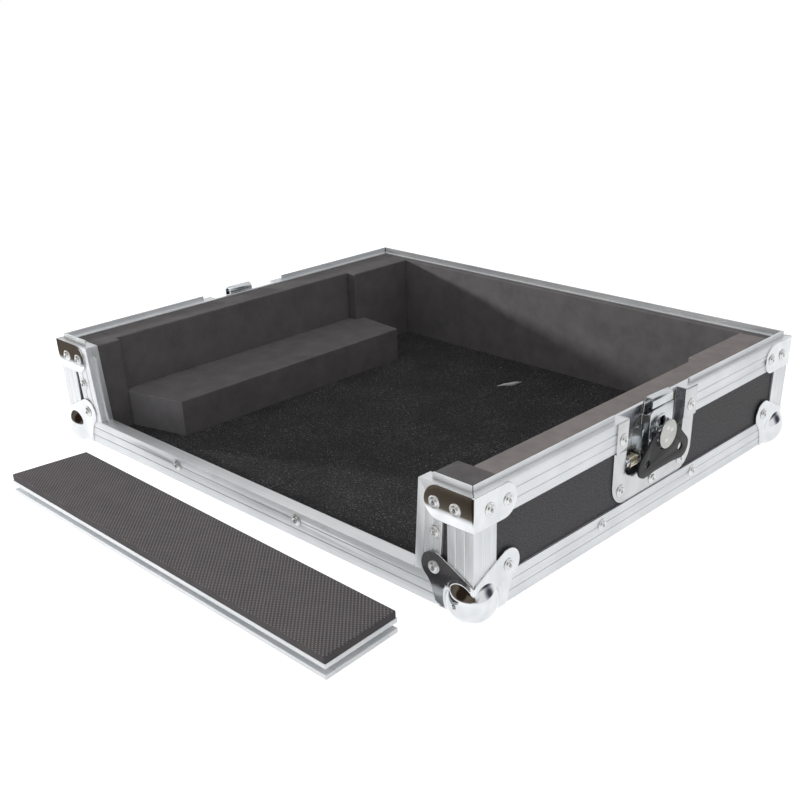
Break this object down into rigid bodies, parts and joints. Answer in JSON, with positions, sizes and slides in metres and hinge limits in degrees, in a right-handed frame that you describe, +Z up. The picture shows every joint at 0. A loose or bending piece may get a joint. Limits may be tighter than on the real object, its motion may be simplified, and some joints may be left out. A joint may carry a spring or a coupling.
{
  "type": "dj coffin case tray",
  "caption": "Flight case tray for a mixer or controller: laminated boards in metal extrusions, foam lining, ball corners, recessed butterfly latches and a lift-out front panel.",
  "frame": {"origin": "middle of the tray on top of the carpet, 10.3 mm above the underside of the bottom rails", "axes": "+X right along the tray's front, +Y from the open front towards the back, +Z up"},
  "size_m": [0.5608, 0.577, 0.1154],
  "materials": {
    "laminate_board": "thin plywood faced with a black fine-grained matte laminate",
    "foam": "closed-cell foam, matte dark brownish grey, embossed",
    "carpet": "short felted needle-punch carpet, near black",
    "extrusion": "satin drawn extrusion with fine lengthwise grooves",
    "pressed_corner": "bright plated pressed steel",
    "rivet": "bright plated domed head with a pierced middle",
    "latch_dish": "bright plated pressed steel with soft edges",
    "latch_plate": "zinc plated pressed steel, lightly brushed",
    "handle": "satin black coat on pressed steel",
    "spring": "yellow passivated spring wire"
  },
  "bodies": {
    "tray": {"floor_board": "laminate_board", "left_wall_board": "laminate_board", "right_wall_board": "laminate_board", "back_wall_board": "laminate_board", "front_left_board": "laminate_board", "front_right_board": "laminate_board", "sill_board": "laminate_board", "carpet": "carpet", "left_foam_strip": "foam", "left_front_foam": "foam", "left_back_foam": "foam", "step_foam": "foam", "right_foam_strip": "foam", "right_front_foam": "foam", "right_back_foam": "foam", "back_foam_liner": "foam", "left_bottom_rail": "extrusion", "right_bottom_rail": "extrusion", "back_bottom_rail": "extrusion", "front_sill": "extrusion", "front_left_angle": "extrusion", "front_right_angle": "extrusion", "back_right_angle": "extrusion", "back_left_angle": "extrusion", "left_top_rail": "extrusion", "right_top_rail": "extrusion", "back_top_rail": "extrusion", "front_left_top_rail": "extrusion", "front_right_top_rail": "extrusion", "left_guide": "extrusion", "right_guide": "extrusion", "front_left_ball_corner": "pressed_corner", "front_right_ball_corner": "pressed_corner", "back_right_ball_corner": "pressed_corner", "back_left_ball_corner": "pressed_corner", "front_left_brace": "pressed_corner", "front_right_brace": "pressed_corner", "back_right_brace": "pressed_corner", "back_left_brace": "pressed_corner", "rivets": "rivet", "right_latch_dish": "latch_dish", "right_latch_bracket": "latch_plate", "right_latch_spring": "spring", "left_latch_dish": "latch_dish", "left_latch_bracket": "latch_plate", "left_latch_spring": "spring"},
    "right_hook": {"right_latch_hook": "latch_plate", "right_latch_plate": "latch_plate"},
    "right_hub": {"right_latch_hub": "latch_plate"},
    "right_handle": {"right_latch_handle": "handle"},
    "left_hook": {"left_latch_hook": "latch_plate", "left_latch_plate": "latch_plate"},
    "left_hub": {"left_latch_hub": "latch_plate"},
    "left_handle": {"left_latch_handle": "handle"},
    "front_panel": {"panel_board": "laminate_board", "panel_foam": "foam", "panel_top_channel": "extrusion", "panel_bottom_channel": "extrusion", "panel_left_channel": "extrusion", "panel_right_channel": "extrusion"}
  },
  "joints": [
    {"name": "right_latch_turn", "type": "hinge", "parent": "tray", "child": "right_hub", "pos_m": [0.272, 0.0065, 0.0631], "axis": [1, 0, 0], "range_deg": [0, 180]},
    {"name": "right_hook_draw", "type": "slide", "parent": "tray", "child": "right_hook", "axis": [0, 0, 1], "range_m": [-0.009, 0]},
    {"name": "right_handle_fold", "type": "hinge", "parent": "right_hub", "child": "right_handle", "pos_m": [0.277, 0.0065, 0.0676], "axis": [0, -1, 0], "range_deg": [0, 90]},
    {"name": "left_latch_turn", "type": "hinge", "parent": "tray", "child": "left_hub", "pos_m": [-0.272, -0.0065, 0.0631], "axis": [-1, 0, 0], "range_deg": [0, 180]},
    {"name": "left_hook_draw", "type": "slide", "parent": "tray", "child": "left_hook", "axis": [0, 0, 1], "range_m": [-0.009, 0]},
    {"name": "left_handle_fold", "type": "hinge", "parent": "left_hub", "child": "left_handle", "pos_m": [-0.277, -0.0065, 0.0676], "axis": [0, 1, 0], "range_deg": [0, 90]},
    {"name": "front_panel_lift", "type": "slide", "parent": "tray", "child": "front_panel", "axis": [0, 0, 1], "range_m": [0, 0.12]}
  ],
  "couplings": [
    {"joint": "right_latch_turn", "follows": "right_hook_draw", "rad_per_m": -349.07},
    {"joint": "left_latch_turn", "follows": "left_hook_draw", "rad_per_m": -349.07}
  ]
}
